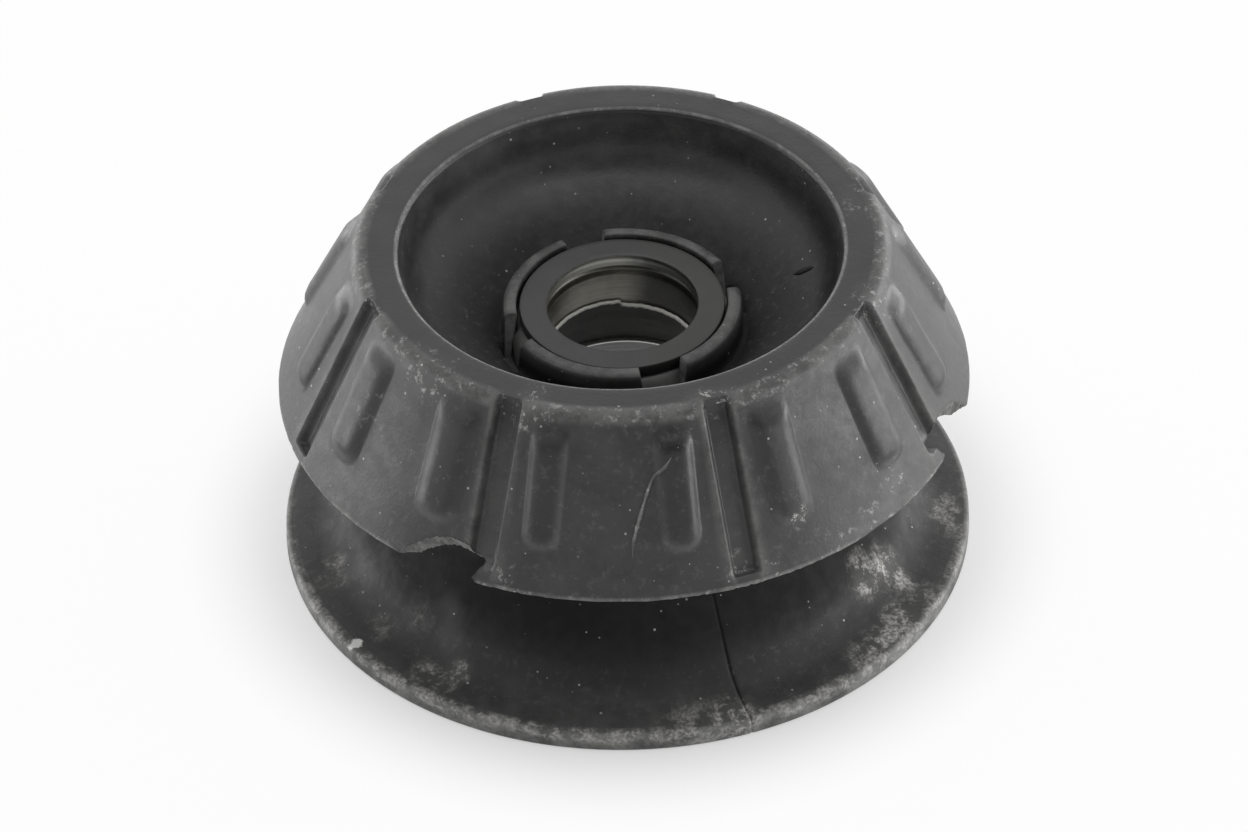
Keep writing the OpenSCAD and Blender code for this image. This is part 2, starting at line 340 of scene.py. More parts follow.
def columnAzimuths(radius):
    # one azimuth for each column at each row's radius, so that columns run along the channels and ribs
    p = panels
    reach = np.maximum(radius, p["leastReach"])
    pitch = 360 / p["count"]
    columns, ribWidths, ribAngles = [], [], []

    def along(centre, offset):
        return centre + np.degrees(np.arcsin(offset / reach))

    for channel in range(p["count"]):
        centre = channel * pitch
        offsets = p["channelColumns"]
        if channel in (0, p["count"] // 2):  # the parting line needs finer columns
            offsets = offsets + p["partingColumns"]
        offsets = sorted({sign * offset for offset in offsets for sign in (-1, 1)})
        for sign, width, angle in zip((-1, 1), p["ribWidths"][channel], p["ribAngles"][channel]):
            span = [along(centre + sign * angle, sign * t * width / 2) for t in p["ribColumns"]]
            middle = centre + sign * pitch / 2
            land = [(along(centre, sign * p["channelColumns"][-1]) + span[0]) / 2]
            side = land + span + [span[-1] + (middle - span[-1]) * t for t in p["landColumns"]]
            if sign < 0:
                side = [np.broadcast_to(middle, reach.shape)] + side[::-1] + [along(centre, t) for t in offsets]
            columns += side
            ribWidths += [width] * len(side)
            ribAngles += [angle] * len(side)
    return np.stack(columns, 1), np.array(ribWidths), np.radians(ribAngles)


notches = dict(
    channels=(1, 7), channelFoot=4.2, footReach=6, step=0.35, jag=0.1, seed=11,
    depth=(-4.2, -3, -2.3, -1.6, -0.9, -0.3, 0.4, 1.6),  # of the cutter's rings, outwards from the skirt
    # one notch's outline: distance across from the channel's middle, away from the front, and up the
    # slope, then how far the torn face leans out under it
    outline=((-0.7, -2, 0), (-0.6, -0.2, 0), (-0.1, 0.4, 0), (1.35, 1.25, 0), (0.75, 2.0, 0), (0.2, 2.9, 0),
             (-0.35, 3.8, 0), (-0.5, 4.7, 0.2), (-0.1, 5.7, 0.5), (0.9, 6.35, 0.65), (2.4, 6.8, 0.7),
             (4.3, 7.1, 0.7), (6.3, 7.2, 0.72), (8.3, 6.8, 0.78), (9.9, 6.1, 0.85), (11.6, 5.2, 0.9),
             (13.1, 4.0, 0.95), (14.6, 2.6, 0.9), (15.8, 1.2, 0.7), (16.7, 0.4, 0.3), (17.4, -0.2, 0),
             (17.8, -2, 0)))


def notchCutter():
    # a closed prism with a torn outline for each notch, to be taken out of the skirt
    m, n = moulding, notches
    corners = np.array(n["outline"], float)
    lengths = np.concatenate([[0], np.cumsum(np.linalg.norm(np.diff(corners[:, :2], axis=0), axis=1))])
    places = np.linspace(0, lengths[-1], int(lengths[-1] / n["step"]))
    across, up, leaning = (np.interp(places, lengths, corners[:, k]) for k in range(3))
    for values in (across, up, leaning):  # rounds the corners of the outline
        values[1:-1] = np.convolve(values, np.ones(3) / 3, "valid")
    count = len(places)
    verts, faces = [], []
    for side, channel in zip((1, -1), n["channels"]):
        rng = np.random.default_rng(n["seed"] + channel)
        first = len(verts)
        for depth in n["depth"]:
            torn = n["jag"] * rng.normal(size=(2, count)) * (up > -0.5)
            slope = up + torn[0] + leaning * depth
            azimuth = 2 * math.pi / panels["count"] + np.arcsin((across + torn[1]) / m["skirtRadius"])
            radius = m["skirtRadius"] - slope * math.sin(lean) + depth * math.cos(lean)
            height = m["skirtEdge"] + slope * math.cos(lean) + depth * math.sin(lean)
            verts += np.stack([side * radius * np.sin(azimuth), -radius * np.cos(azimuth), height], -1).tolist()
        for low in range(first, len(verts) - count, count):
            faces += [(low + i, low + (i + 1) % count, low + count + (i + 1) % count, low + count + i)
                      for i in range(count)]
        faces.append(tuple(range(first, first + count)))
        faces.append(tuple(range(len(verts) - count, len(verts)))[::-1])
    cutter = bpy.data.meshes.new("notchCutter")
    cutter.from_pydata((np.array(verts) * mm).tolist(), [], faces)
    setAttribute(cutter, "torn", "FACE", np.ones(len(faces)))
    turnOutwards(cutter)
    return cutter


def cutNotches(mesh):
    setAttribute(mesh, "torn", "FACE", np.zeros(len(mesh.polygons)))
    whole = bpy.data.objects.new("whole", mesh)
    tool = bpy.data.objects.new("tool", notchCutter())
    for item in (whole, tool):
        scene.collection.objects.link(item)
    modifier = whole.modifiers.new("notches", "BOOLEAN")
    modifier.object = tool
    modifier.operation = "DIFFERENCE"
    modifier.solver = "MANIFOLD"
    made = evaluatedMesh(whole, mesh.name)
    whole.modifiers.remove(modifier)
    bpy.data.objects.remove(tool)
    bpy.data.objects.remove(whole)
    work = bmesh.new()
    work.from_mesh(made)
    torn = work.faces.layers.float["torn"]
    for edge in work.edges:  # the torn faces meet the skin at a sharp edge
        if len(edge.link_faces) == 2 and edge.link_faces[0][torn] != edge.link_faces[1][torn]:
            edge.smooth = False
    work.to_mesh(made)
    work.free()
    print("notches cut", len(mesh.polygons), "faces to", len(made.polygons))
    return made


wear = dict(
    # scuffed places: a point on the rubber, how far round it they reach and how strong they are
    scuffs=((-31, -36.5, 64.2, 5, 1), (-29, -34, 65, 4, 0.6), (-1.5, -46.6, 64.8, 5, 1),
            (2, -46.7, 64.8, 4, 0.8), (-43.4, -20.7, 63.6, 6, 0.9), (-44.8, -16.9, 64.2, 6, 0.7),
            (11, -57.4, 43.5, 3, 1), (32, -50.4, 40.7, 4.5, 1), (20, -59, 35.4, 6, 0.5),
            (27, -56.2, 35.5, 8, 0.7), (4, -62, 35.8, 3.5, 0.9), (-1.1, -60.4, 38.2, 3.5, 0.6),
            (37.5, -30.1, 63.4, 6, 0.8), (45.8, -4.9, 65, 7, 0.35), (-40, -46.4, 37.5, 3, 0.5),
            (-49.7, -13, 52, 6, 0.5)),
    # dust that has settled, in the same way
    dust=((31, -40, 9, 5.5, 0.75), (36, -37.5, 7.2, 5, 1), (38, -39, 4.8, 3.5, 0.65),
          (53.5, -22.5, 4.2, 5, 0.4), (52.5, -27, 4, 4.5, 0.35), (30.6, -52, 3.8, 5.5, 0.75),
          (25.7, -54.6, 3.8, 5, 0.6), (35, -48, 3.9, 6, 0.6), (41, -43.4, 3.9, 4.5, 0.35),
          (-2.5, -60.5, 3.8, 6, 0.7), (-10, -60, 3.8, 7, 0.35), (-47, -33, 4.3, 4, 0.4),
          (-49.7, -29.6, 4.2, 3.5, 0.35), (-43.8, -32.7, 4.7, 3, 0.5), (-55, 4, 4.7, 3, 0.35),
          (-57, 0, 4.3, 4, 0.25), (-53, -16, 4.5, 4, 0.2), (-47, -20, 8, 3, 0.25)),
    core=0.35,  # share of each reach that has the full strength
    brimDust=0.5, brimEdge=(1.2, 2.6), brimFlange=(60.3, 61.4), brimSpan=(60, 110),
    flake=(-58.6, -17.1, 3.6), flakeSize=1.5,
    # a crease on the front panel, from its upper end, and a nick in the bowl, a raised ridge coloured with painted
    # shade for the shade inside the cut: azimuth and height
    crease=((-11, 58.5), (-12.6, 56.8), (-14.9, 54.4), (-16.4, 51.3), (-17.9, 47.4), (-18.9, 44.2),
            (-19.1, 41.8)),
    creaseWidth=1.0, creaseRise=0.34,
    nick=((82.6, 51.6), (81.5, 52.6), (80.9, 53.2), (80, 53.9)), nickWidth=1.5, nickRise=0.3, foldSeed=5,
    # frayed skirt edge: how far up it reaches, the depth of its waves and nicks, and how closely they follow
    frayReach=1.6, frayWaves=0.16, frayNicks=0.1,
    frayRates=(3.1, 7.7), frayNickRate=17.3, frayNickSharp=6,
    # edges rubbed grey and light scuffs, by zone; the rim's inner line and the lips' tops have their own
    rub=dict(skirtEdge=1, shoulder=0.55, flangeEdge=1.1), rimRub=1, lipRub=0.6, lipRubDepth=0.6,
    marks=dict(panel=0.07, shoulder=0.45, skirtEdge=0.5, bowl=0.06, flange=0.06), rimMarks=0.55,
    marksBack=0.6, marksSpan=(90, 140), rimLine=0.4, rimLineHalf=0.35)
filmAndPaintedLight = dict(  # the pale film, by zone, with the radii or heights over which it sets in; besides real bloom it carries painted light where it is added for the front, the rim's back, the bowl's back wall, the lips' walls and below the left notch
    panel=0.8, rim=0.42, flange=0.7, flangeFrom=(50, 56), rimPaintedSheen=0.5, rimSheenAzimuth=160,
    front=-20, frontPower=5, frontPanelPaintedLight=0.4, frontFlangePaintedLight=1.7,
    bowl=1.9, bowlFrom=(50, 56), bowlLightSpread=1.4, lip=2.6, lipFrom=(20.8, 21.4), lipUp=(48.5, 50.5),
    # a painted pool of light below the left notch, where light comes through it onto the waist and flange: azimuth
    # at a radius, half width, and where it starts and ends
    streak=1.5, lightPoolAt=(-62, 47.8), lightPoolHalf=(1.2, 4.6), lightPoolFrom=(46, 49), lightPoolTo=(55.5, 58))
shade = dict(  # painted shade: where the rubber's colour is darkened to stand for the shade in the parting groove, the gaps, the lips' feet, hollows and beside the gaps
    seamWidth=0.26, lipFoot=1.4, hollow=0.6, hollowFrom=(6, 15), bowl=0.7, bowlFrom=(48, 54),
    besideGaps=(8, 10), backGap=171.5, backGapHalf=(2.5, 4), besideFrom=(23.4, 24.6))


def openGaps(zone, near, out, up):
    # in each gap the lips' rows drop to a floor beside the core; gives back 1 in a gap and 0 outside
    m = moulding
    lip = np.where(zone == "lip")[0]
    floor = np.linspace(m["gapWall"], m["cupRadius"] + m["gapClear"], len(lip))[:, None]
    turn = 360 / m["gapCount"]
    fromGap = np.abs((near[lip] + turn / 2) % turn - turn / 2) - m["gapHalf"]
    inGap = np.zeros_like(near)
    inGap[lip] = 1 - ease(fromGap, *m["gapSide"])
    out[lip] += (floor - out[lip]) * inGap[lip]
    up[lip] += (m["gapFloor"] - up[lip]) * inGap[lip]
    return inGap


def frayEdge(zone, near, out, up):
    # the skirt's lower edge only ever loses rubber
    slope = (up - moulding["skirtEdge"]) / math.cos(lean)
    skirt = np.isin(zone, ("skirtIn", "skirtEdge", "panel"))[:, None]
    edge = np.clip(1 - np.abs(slope) / wear["frayReach"], 0, 1) * skirt
    slow, fast = wear["frayRates"]
    fray = wear["frayWaves"] * (1 + np.sin(near * slow + 1)) * (1 + np.sin(near * fast)) / 4
    nicks = np.abs(np.sin(near * wear["frayNickRate"] + 4)) ** wear["frayNickSharp"]
    fray = fray + wear["frayNicks"] * nicks
    up += fray * edge * math.cos(lean)
    out -= fray * edge * math.sin(lean)


def pressSeam(zone, across, out, up):
    # the parting line's groove on the flange and waist
    m = moulding
    groove = np.exp(-(across / m["seamWidth"]) ** 2) * m["seamDepth"]
    groove = groove * np.isin(zone, ("flangeEdge", "flange", "waist"))[:, None]
    up -= groove * ease(up, *m["seamUp"]) * m["seamDown"]
    out -= groove * m["seamIn"] * ease(out, *m["seamOut"])


def channelDrops(radius, height, zone, near):
    # for the pressing tree: distance up the slope, and the way from a point to a channel's floor or end wall
    m = moulding
    onSlope = np.isin(zone, ("panel", "shoulder"))
    slope = np.where(onSlope, (height - m["skirtEdge"]) / math.cos(lean), m["offSlope"])[:, None] + 0 * near
    notched = np.abs(np.abs(near) - 360 / panels["count"]) < notches["footReach"]
    foot = np.where(notched, notches["channelFoot"], m["channelFoot"])
    deep = ease(slope - foot, *m["footSlope"]) * m["channelDepth"] * (zone == "panel")[:, None]
    dropOut, dropUp = -deep * math.cos(lean), -deep * math.sin(lean)

    # the shoulder's rows go up the end wall and over its corner
    wall = np.where(zone == "shoulder")[0]
    end, top = m["channelEnd"], m["rimHeight"]
    floorTop = top - (end - m["rimOuter"] + m["channelDepth"] / math.cos(lean)) / math.tan(lean)
    path = [(end + 0.3, floorTop - 0.6)]
    path += arc((end + 1, floorTop - 2), (end, floorTop), (end, top), m["endRound"], 2)
    path += between(path[-1], (end, top - 0.5), 2)
    path += [(end, top - 0.5), (end - 0.06, top - 0.14), (end - 0.2, top - 0.02), (radius[wall[-1]], top)]
    for row, (r, z) in zip(wall, path):
        dropOut[row] = r - radius[row]
        dropUp[row] = z - height[row]
    return slope * mm, dropOut * mm, dropUp * mm


def wearMarks(radius, height, zone, near, points, across, inGap):
    # how rubbed, filmed, scuffed, dusty and matte each point of the rubber is, and where light and shade are
    # painted into its colour
    m, w, f, d = moulding, wear, filmAndPaintedLight, shade
    radius, height = radius[:, None], height[:, None]

    def at(*names):
        return np.isin(zone, names)[:, None]

    def worn(places):
        amount = np.zeros_like(near)
        for x, y, z, reach, strength in places:
            far = np.linalg.norm(points - (x, y, z), axis=-1)
            amount = np.maximum(amount, strength * (1 - ease(far, w["core"] * reach, reach)))
        return amount

    rimLine = at("rim") & (np.abs(radius - m["rimInner"] - w["rimLine"]) < w["rimLineHalf"])
    rub = sum(strength * at(name) for name, strength in w["rub"].items())
    rub = np.where(rimLine, w["rimRub"], rub)
    rub = np.where(at("lip") & (height > m["lipTop"] - w["lipRubDepth"]), w["lipRub"], rub)

    flangeTop = at("flange") * ease(radius, *f["flangeFrom"])
    # painted light: the film is stronger on the panel and flange facing the front, standing for light the front
    # does not get
    front = np.maximum(np.cos(np.radians(near - f["front"])), 0) ** f["frontPower"]
    coat = at("panel") * (f["panel"] + f["frontPanelPaintedLight"] * front)
    coat = coat + flangeTop * (f["flange"] + f["frontFlangePaintedLight"] * front)
    # painted sheen: the rim's film is palest towards the back
    coat = coat + at("rim") * f["rim"] * (1 + f["rimPaintedSheen"] * np.cos(np.radians(near - f["rimSheenAzimuth"])))
    # painted light: a pale streak where light through the left notch falls on the waist and flange
    streakAzimuth, streakRadius = f["lightPoolAt"]
    streak = 1 - ease(np.abs(near - streakAzimuth - (radius - streakRadius)), *f["lightPoolHalf"])
    streak = streak * ease(radius, *f["lightPoolFrom"]) * (1 - ease(radius, *f["lightPoolTo"]))
    coat = coat + f["streak"] * streak * at("flangeEdge", "flange", "waist")
    # painted light: the bowl's upper wall is paler towards the back
    backwards = np.maximum(np.cos(np.radians(180 - np.abs(near)) / f["bowlLightSpread"]), 0) ** 2
    coat = coat + f["bowl"] * at("bowl") * ease(height, *f["bowlFrom"]) * backwards
    # painted light on the upper part of the lips' outer walls
    coat = coat + f["lip"] * at("lip") * ease(radius, *f["lipFrom"]) * ease(height, *f["lipUp"])

    aside = np.abs(near - f["front"])
    brim = at("flangeEdge") * ease(height, *w["brimEdge"]) + at("flange") * ease(radius, *w["brimFlange"])
    dust = np.maximum(worn(w["dust"]), w["brimDust"] * brim * (1 - ease(aside, *w["brimSpan"])))
    marks = sum(strength * at(name) for name, strength in w["marks"].items()) + w["rimMarks"] * rimLine
    scuff = np.maximum(worn(w["scuffs"]), marks * (1 - w["marksBack"] * ease(aside, *w["marksSpan"])))

    # painted shade, carried by the 'seam' attribute: the parting line's groove, the gaps and lips' feet, hollows
    # that no light reaches, and beside the gaps are darkened in colour
    dark = np.exp(-(across / d["seamWidth"]) ** 2) * at("flangeEdge", "flange", "waist") + inGap
    dark = np.where(at("lip") & (height < m["bowlFloor"] + d["lipFoot"]), 1, dark)
    hollow = d["hollow"] * at("waist", "groove", "skirtIn") * ease(height, *d["hollowFrom"])
    hollow = hollow + d["bowl"] * at("bowl") * (1 - ease(height, *d["bowlFrom"]))
    beside = np.maximum(1 - ease(np.abs(np.abs(near) - 90), *d["besideGaps"]),
                        1 - ease(np.abs(near - d["backGap"]), *d["backGapHalf"]))
    beside = beside * at("bowl") * (1 - ease(radius, *d["besideFrom"]))
    dark = np.maximum(dark, np.maximum(hollow, beside))
    matte = at("waist", "groove", "flange", "skirtIn")
    # the 'seam' attribute holds the painted shade
    return {"matte": matte, "filmAndPaintedLight": coat, "seam": dark, "scuff": scuff, "dust": dust, "rub": rub}


def makeMoulding():
    radius, height, zone = (np.array(values) for values in zip(*mouldingRows()))
    azimuth, ribWidths, ribAngles = columnAzimuths(radius)
    near = (azimuth + 180) % 360 - 180
    out, up = radius[:, None] + 0 * near, height[:, None] + 0 * near
    inGap = openGaps(zone, near, out, up)
    frayEdge(zone, near, out, up)
    across = radius[:, None] * np.sin(np.radians((near + 90) % 180 - 90))  # from the parting line
    pressSeam(zone, across, out, up)
    angle = np.radians(azimuth)
    points = np.stack([out * np.sin(angle), -out * np.cos(angle), up], -1)

    attributes = wearMarks(radius, height, zone, near, points, across, inGap)
    attributes["slope"], attributes["dropOut"], attributes["dropUp"] = channelDrops(radius, height, zone, near)
    attributes["ribWidth"], attributes["ribAngle"] = ribWidths * mm, ribAngles
    free = ~np.isin(zone, ("bond", "under"))
    attributes["loose"] = (free * ease(height, *moulding["bondLoose"]))[:, None]
    print("moulding rows", len(radius), "columns", azimuth.shape[1])
    return gridMesh("rubber_moulding", points, attributes)


panelMarks = dict(
    endWall=(27, 32),  # distance up the slope over which a channel turns into its dark end wall
    # a rubbed line along each channel's corners: strength, place outside the channel, width and start
    corner=0.6, cornerAside=0.2, cornerWidth=1, cornerStart=3,
    # pale film in the channels, from their foot to below their end
    channel=1.9, channelStart=4, channelStop=(29, 25),
    # film round a rib's foot: all along it, and more at its lower end
    foot=0.35, footLow=2.1, footLowAt=(14, 10), footIn=(-0.2, 0.1), footOut=(0.5, 0.2), onRib=0.6,
    # film on the flanks turned away from the front, between two angles to each side of it: partly real bloom,
    # partly painted light for the side-lit flanks
    flankFilmAndLight=2.8, flankEdge=1.5, flankIn=(0, 0.2), flankOut=(0.75, 0.4),
    front=-0.34, flankFrom=(0.35, 0.8), flankTo=(2.2, 1.8))


def pressPanels(material):
    # node tree that presses the channels and ribs into the revolved moulding
    tree = bpy.data.node_groups.new("pressPanels", "GeometryNodeTree")
    face = tree.interface
    face.new_socket("Geometry", in_out="INPUT", socket_type="NodeSocketGeometry")
    p = panels
    marks = panelMarks
    metres = {name: np.array(value) * mm for name, value in marks.items()}  # for the marks that are lengths
    sizes = {
        "Panel Count": p["count"], "Lean": lean, "Channel Width": p["channelWidth"] * mm,
        "Channel Wall": p["channelWall"] * mm, "Rib Foot": p["ribFoot"] * mm,
        "Rib Head": (slopeLength - p["ribHead"]) * mm, "Rib Rise": p["ribRise"] * mm, "Rib Flank": p["ribFlank"],
        "Rib Fade": p["ribFade"] * mm, "Rib Round": p["ribRound"] * mm,
        "Uneven": p["uneven"] * mm, "Uneven Size": 1 / (p["unevenSize"] * mm),
        "Grain": p["grain"] * mm, "Grain Size": 1 / (p["grainSize"] * mm), "Seed": p["seed"],
    }
    identifiers = {}
    for name, value in sizes.items():
        socket = face.new_socket(name, in_out="INPUT", socket_type="NodeSocketFloat")
        socket.default_value = value
        identifiers[socket.identifier] = float(value)
    face.new_socket("Geometry", in_out="OUTPUT", socket_type="NodeSocketGeometry")
    graph = Graph(tree)
    given = graph.node("NodeGroupInput")
    size = {name: given.out(name) for name in sizes}

    def attribute(name):
        return graph.node("GeometryNodeInputNamedAttribute", {"data_type": "FLOAT"}, {"Name": name})

    def stored(geometry, name, value):
        return graph.node("GeometryNodeStoreNamedAttribute", {"data_type": "FLOAT", "domain": "POINT"},
                          {"Geometry": geometry, "Name": name, "Value": value})

    def scaled(vector, amount):
        return graph.node("ShaderNodeVectorMath", {"operation": "SCALE"}, {0: vector, "Scale": amount})

    def summed(first, second):
        return graph.vector("ADD", first, second)

    position = graph.node("GeometryNodeInputPosition")
    split = graph.node("ShaderNodeSeparateXYZ", None, {0: position})
    x, y = split.out("X"), split.out("Y")
    radius = (x * x + y * y).maths("SQRT")
    azimuth = graph.maths("ARCTAN2", x, -y)
    pitch = 2 * math.pi / size["Panel Count"]
    local = azimuth.maths("WRAP", pitch / 2, -pitch / 2)
    across = abs(radius * local.maths("SINE"))
    half = size["Channel Width"] / 2
    outside, within = p["wallSplit"]  # shares of a channel's wall to each side of its width
    channel = graph.smooth(across, half + size["Channel Wall"] * outside, half - size["Channel Wall"] * within)

    # a rib is a rounded oblong on the slope
    slope = attribute("slope")
    width = attribute("ribWidth")
    beside = radius * (abs(local) - attribute("ribAngle")).maths("SINE")
    middle = (size["Rib Foot"] + size["Rib Head"]) / 2
    reach = (size["Rib Head"] - size["Rib Foot"]) / 2
    sideways = abs(beside) - (width / 2 - size["Rib Round"])
    lengthways = abs(slope - middle) - (reach - size["Rib Round"])
    outX, outY = graph.most(sideways, 0), graph.most(lengthways, 0)
    distance = (outX * outX + outY * outY).maths("SQRT") + graph.least(graph.most(sideways, lengthways), 0)
    inside = (size["Rib Round"] - distance) / (width / 2)  # 0 at the rib's edge, 1 along its crest
    fallen = 1 - graph.least(graph.most(inside / size["Rib Flank"], 0), 1)
    crest = 1 - fallen * fallen
    rib = crest * graph.smooth(slope, size["Rib Head"], size["Rib Head"] - size["Rib Fade"])

    radial = graph.joined(x / radius, y / radius, 0)
    vertical = (0, 0, 1)
    outwards = summed(scaled(radial, size["Lean"].maths("COSINE")), scaled(vertical, size["Lean"].maths("SINE")))
    drop = summed(scaled(radial, attribute("dropOut")), scaled(vertical, attribute("dropUp")))
    push = summed(scaled(drop, channel), scaled(outwards, rib * size["Rib Rise"]))
    pressed = graph.node("GeometryNodeSetPosition", None, {"Geometry": given, "Offset": push})

    # rubbed lines along the channels; the upright wall at a channel's end stays dark
    ending = channel * graph.smooth(slope, *metres["endWall"])
    lines = graph.smooth(abs(across - half - metres["cornerAside"]), metres["cornerWidth"], 0)
    lines = lines * graph.smooth(slope, 0, metres["cornerStart"]) * marks["corner"]
    pressed = stored(pressed, "rub", graph.most(attribute("rub") * (1 - ending), lines))

    # a pale film lies in the channels and round the feet of the ribs
    low = graph.smooth(slope, size["Rib Head"], middle)
    filmed = channel * graph.smooth(slope, 0, metres["channelStart"]) * graph.smooth(slope, *metres["channelStop"])
    foot = graph.smooth(inside, *marks["footIn"]) * graph.smooth(inside, *marks["footOut"]) * low
    foot = foot * (marks["foot"] + marks["footLow"] * graph.smooth(slope, *metres["footLowAt"]))
    filmed = graph.most(filmed * marks["channel"], foot)
    filmed = graph.most(filmed, attribute("filmAndPaintedLight") * (1 - rib * marks["onRib"]) * (1 - ending))
    # and on the flanks that are turned away from the front: partly real bloom, partly painted light standing for
    # the flanks lit from the sides
    aside = azimuth - marks["front"]
    outer = graph.smooth(beside * local.maths("SIGN") * aside.maths("SIGN"), 0, metres["flankEdge"])
    flankFilmAndLight = outer * graph.smooth(inside, *marks["flankIn"]) * graph.smooth(inside, *marks["flankOut"]) * low
    for span in ("flankFrom", "flankTo"):
        flankFilmAndLight = flankFilmAndLight * graph.smooth(abs(aside), *marks[span])
    pressed = stored(pressed, "filmAndPaintedLight", graph.most(filmed, flankFilmAndLight * marks["flankFilmAndLight"]))

    # uneven surface: it only goes inwards
    where = summed(graph.node("GeometryNodeInputPosition"), scaled(p["seedShift"], size["Seed"]))
    slow = graph.noise(where, size["Uneven Size"], 2)
    fast = graph.noise(where, size["Grain Size"], 3)
    dent = (slow - 1) * size["Uneven"] + (fast - 1) * size["Grain"]
    normal = graph.node("GeometryNodeInputNormal")
    rough = graph.node("GeometryNodeSetPosition", None,
                       {"Geometry": pressed, "Offset": scaled(normal, dent * attribute("loose"))})
    realized = graph.node("GeometryNodeRealizeInstances", None, {0: rough})
    finished = graph.node("GeometryNodeSetMaterial", None, {"Geometry": realized, "Material": material})
    graph.node("NodeGroupOutput", None, {0: finished})
    return tree, identifiers


def throughTree(name, mesh, tree, identifiers):
    # runs a mesh through a node tree and gives back a plain mesh
    holder = bpy.data.objects.new(name, mesh)
    scene.collection.objects.link(holder)
    modifier = holder.modifiers.new(name, "NODES")
    modifier.node_group = tree
    for identifier, value in identifiers.items():
        modifier[identifier] = value
    made = evaluatedMesh(holder, name)
    holder.modifiers.remove(modifier)
    bpy.data.objects.remove(holder)
    return made


def addFold(mesh, name, marks, inside):
    # a low folded ridge that lies on the rubber, closed below the surface; inside: met from the axis outwards
    tracks = np.array(wear[name], float)
    places = np.linspace(0, len(tracks) - 1, 7 * len(tracks))
    azimuths, heights = (np.interp(places, range(len(tracks)), tracks[:, k]) for k in (0, 1))
    for values in (azimuths, heights):
        values[2:-2] = np.convolve(values, np.ones(5) / 5, "valid")
    # across the ridge: distance aside, height and how marked it is
    profile = ((-1, -0.15, 0), (-0.55, 0.35, 0.3), (0.1, 1, 1), (0.5, 0.75, 1), (0.8, 0.1, 0.3), (0, -0.8, 0))
    rng = np.random.default_rng(wear["foldSeed"])
    work = bmesh.new()
    work.from_mesh(mesh)
    surface = BVHTree.FromBMesh(work)
    layers = [work.verts.layers.float[mark] for mark in marks]
    start, sign = (25, 1) if inside else (90, -1)
    line = []
    for azimuth, height in zip(np.radians(azimuths), heights):
        out = Vector((math.sin(azimuth), -math.cos(azimuth), 0))
        line.append(surface.ray_cast(Vector((0, 0, height * mm)) + out * (start * mm), out * sign)[:2])
    rings = []
    for number, (point, normal) in enumerate(line):
        ahead = line[min(number + 1, len(line) - 1)][0] - line[max(number - 1, 0)][0]
        across = ahead.cross(normal).normalized()
        share = number / (len(line) - 1)
        thin = min(1, share * 6, (1 - share) * 3.5) ** 0.7 + 0.02
        wide = wear[name + "Width"] * mm / 2 * thin * rng.uniform(0.75, 1.2)
        high = wear[name + "Rise"] * mm * thin * rng.uniform(0.7, 1.15)
        ring = [work.verts.new(point + across * wide * a + normal * high * h) for a, h, _ in profile]
        for vert, (_, _, amount) in zip(ring, profile):
            for layer in layers:
                vert[layer] = amount
        rings.append(ring)
    made = [work.faces.new(rings[0]), work.faces.new(rings[-1][::-1])]
    for first, last in zip(rings, rings[1:]):
        made += [work.faces.new((first[i], first[i - 1], last[i - 1], last[i])) for i in range(len(profile))]
    bmesh.ops.recalc_face_normals(work, faces=made)
    for foldFace in made:
        foldFace.smooth = True
    work.to_mesh(mesh)
    work.free()


# Materials

def newMaterial(name):
    material = bpy.data.materials.new(name)
    material.use_nodes = True
    material.node_tree.nodes.clear()
    return material, Graph(material.node_tree)


def finishMaterial(graph, shader):
    graph.node("ShaderNodeOutputMaterial", None, {"Surface": shader})


rubberFinish = dict(
    dark=(0.006, 0.006, 0.006, 1), pale=(0.0125, 0.0125, 0.0123, 1), rough=(0.35, 0.52),
    # seam: the near-black colour of the painted shade
    seam=(0.002, 0.002, 0.002, 1), paintedShadeAmount=0.85, filmAndPaintedLight=(0.07, 0.07, 0.069, 1), filmAndLightAmount=0.33,
    rubbed=(0.24, 0.24, 0.235, 1), rubAmount=0.75, torn=(0.19, 0.19, 0.186, 1), scuffed=(0.5, 0.5, 0.49, 1),
    dust=(0.56, 0.55, 0.525, 1), flake=(0.72, 0.72, 0.69, 1),
    speck=(0.55, 0.55, 0.54, 1), speckScale=620, speckRare=(0.72, 0.73), speckSize=0.06, speckSpread=0.13,
    wornRough=0.4, matteRough=0.22, roughest=0.95, bump=0.16, bumpDepth=0.0004,
    # grains: scale, detail, roughness and distortion of each noise
    cloud=(42, 4, 0.6), mottle=(380, 4, 0.65), fine=(1500, 3, 0.6), filmAndLightPatches=(110, 4, 0.6),
    rubPatches=(150, 5, 0.7), strands=(560, 6, 0.8, 0.15), clumps=(340, 6, 0.68, 0.2))


